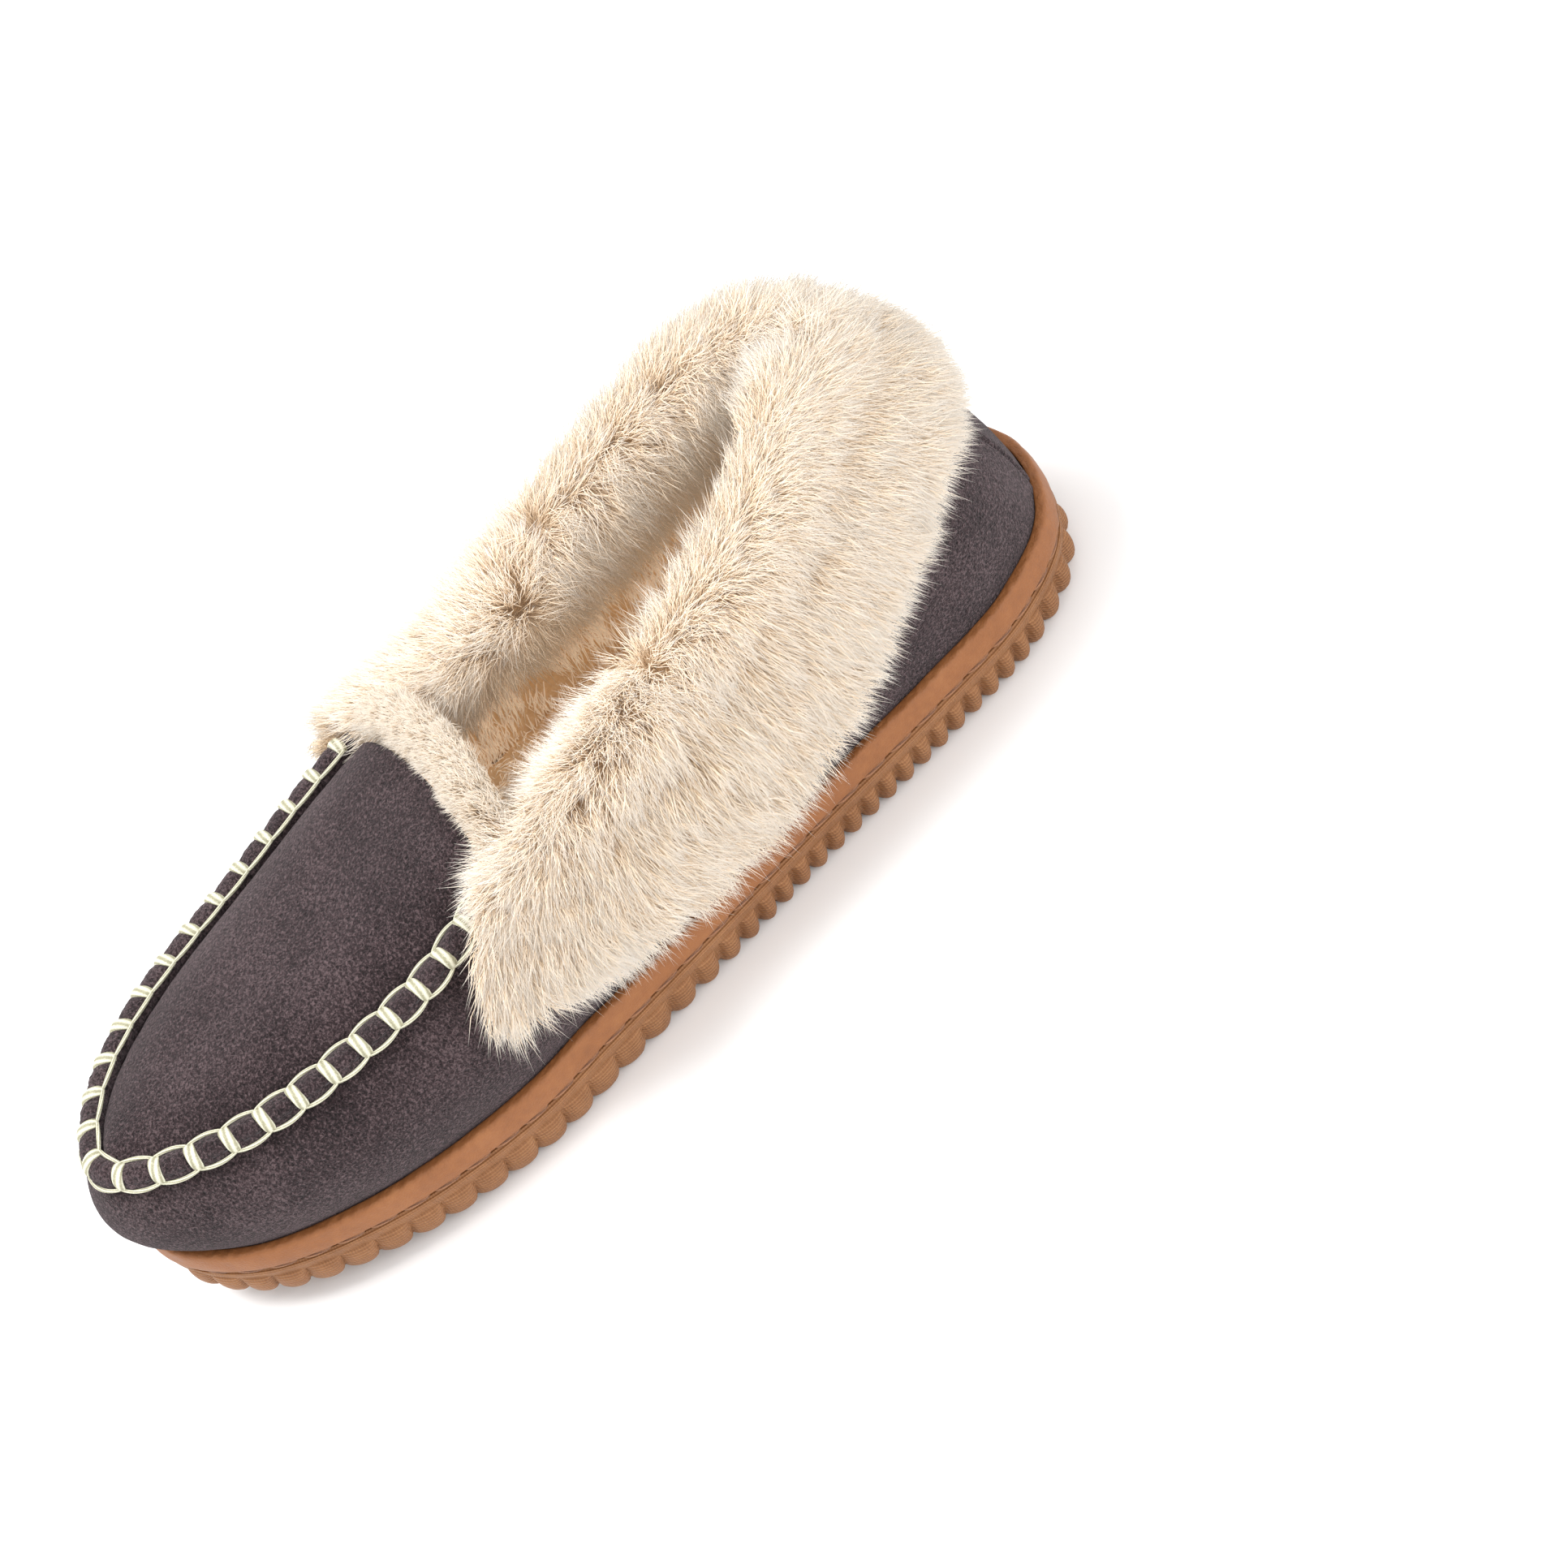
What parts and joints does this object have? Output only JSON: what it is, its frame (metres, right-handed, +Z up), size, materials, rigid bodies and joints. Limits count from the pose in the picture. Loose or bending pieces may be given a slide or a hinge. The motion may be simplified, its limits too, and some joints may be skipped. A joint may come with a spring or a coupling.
{
  "type": "house slipper",
  "caption": "Right-foot moccasin house slipper: ribbed rubber cup sole, suede upper with a laced toe seam, fleece lining and a long-pile fur cuff folded out over the mouth.",
  "frame": {"origin": "middle of the slipper's footprint, on the ground", "axes": "+Z up, toe towards -Y, inner (big toe) side of the right foot towards +X"},
  "size_m": [0.1044, 0.265, 0.0995],
  "materials": {
    "rubber": "satin tan rubber with a fine woven grain",
    "thread": "brown waxed thread",
    "foam": "closed-cell foam",
    "board": "pressed fibre board",
    "lining_fur": "short cream fleece",
    "suede": "napped charcoal-plum suede",
    "lace": "off-white waxed cord",
    "cuff_fur": "long cream pile",
    "brass": "polished"
  },
  "bodies": {
    "root": {"outsole": "rubber", "sole_stitching": "thread", "midsole_foam": "foam", "insole_board": "board", "footbed_foam": "foam", "footbed_fur": "lining_fur", "suede_wall": "suede", "heel_counter": "board", "wall_lining": "lining_fur", "moc_piping": "suede", "whipstitch_lace": "lace", "toe_plug": "suede", "plug_lining": "lining_fur", "fur_cuff": "cuff_fur", "tongue_fur": "cuff_fur", "badge_rivet": "brass", "badge_washer": "brass"}
  },
  "joints": []
}
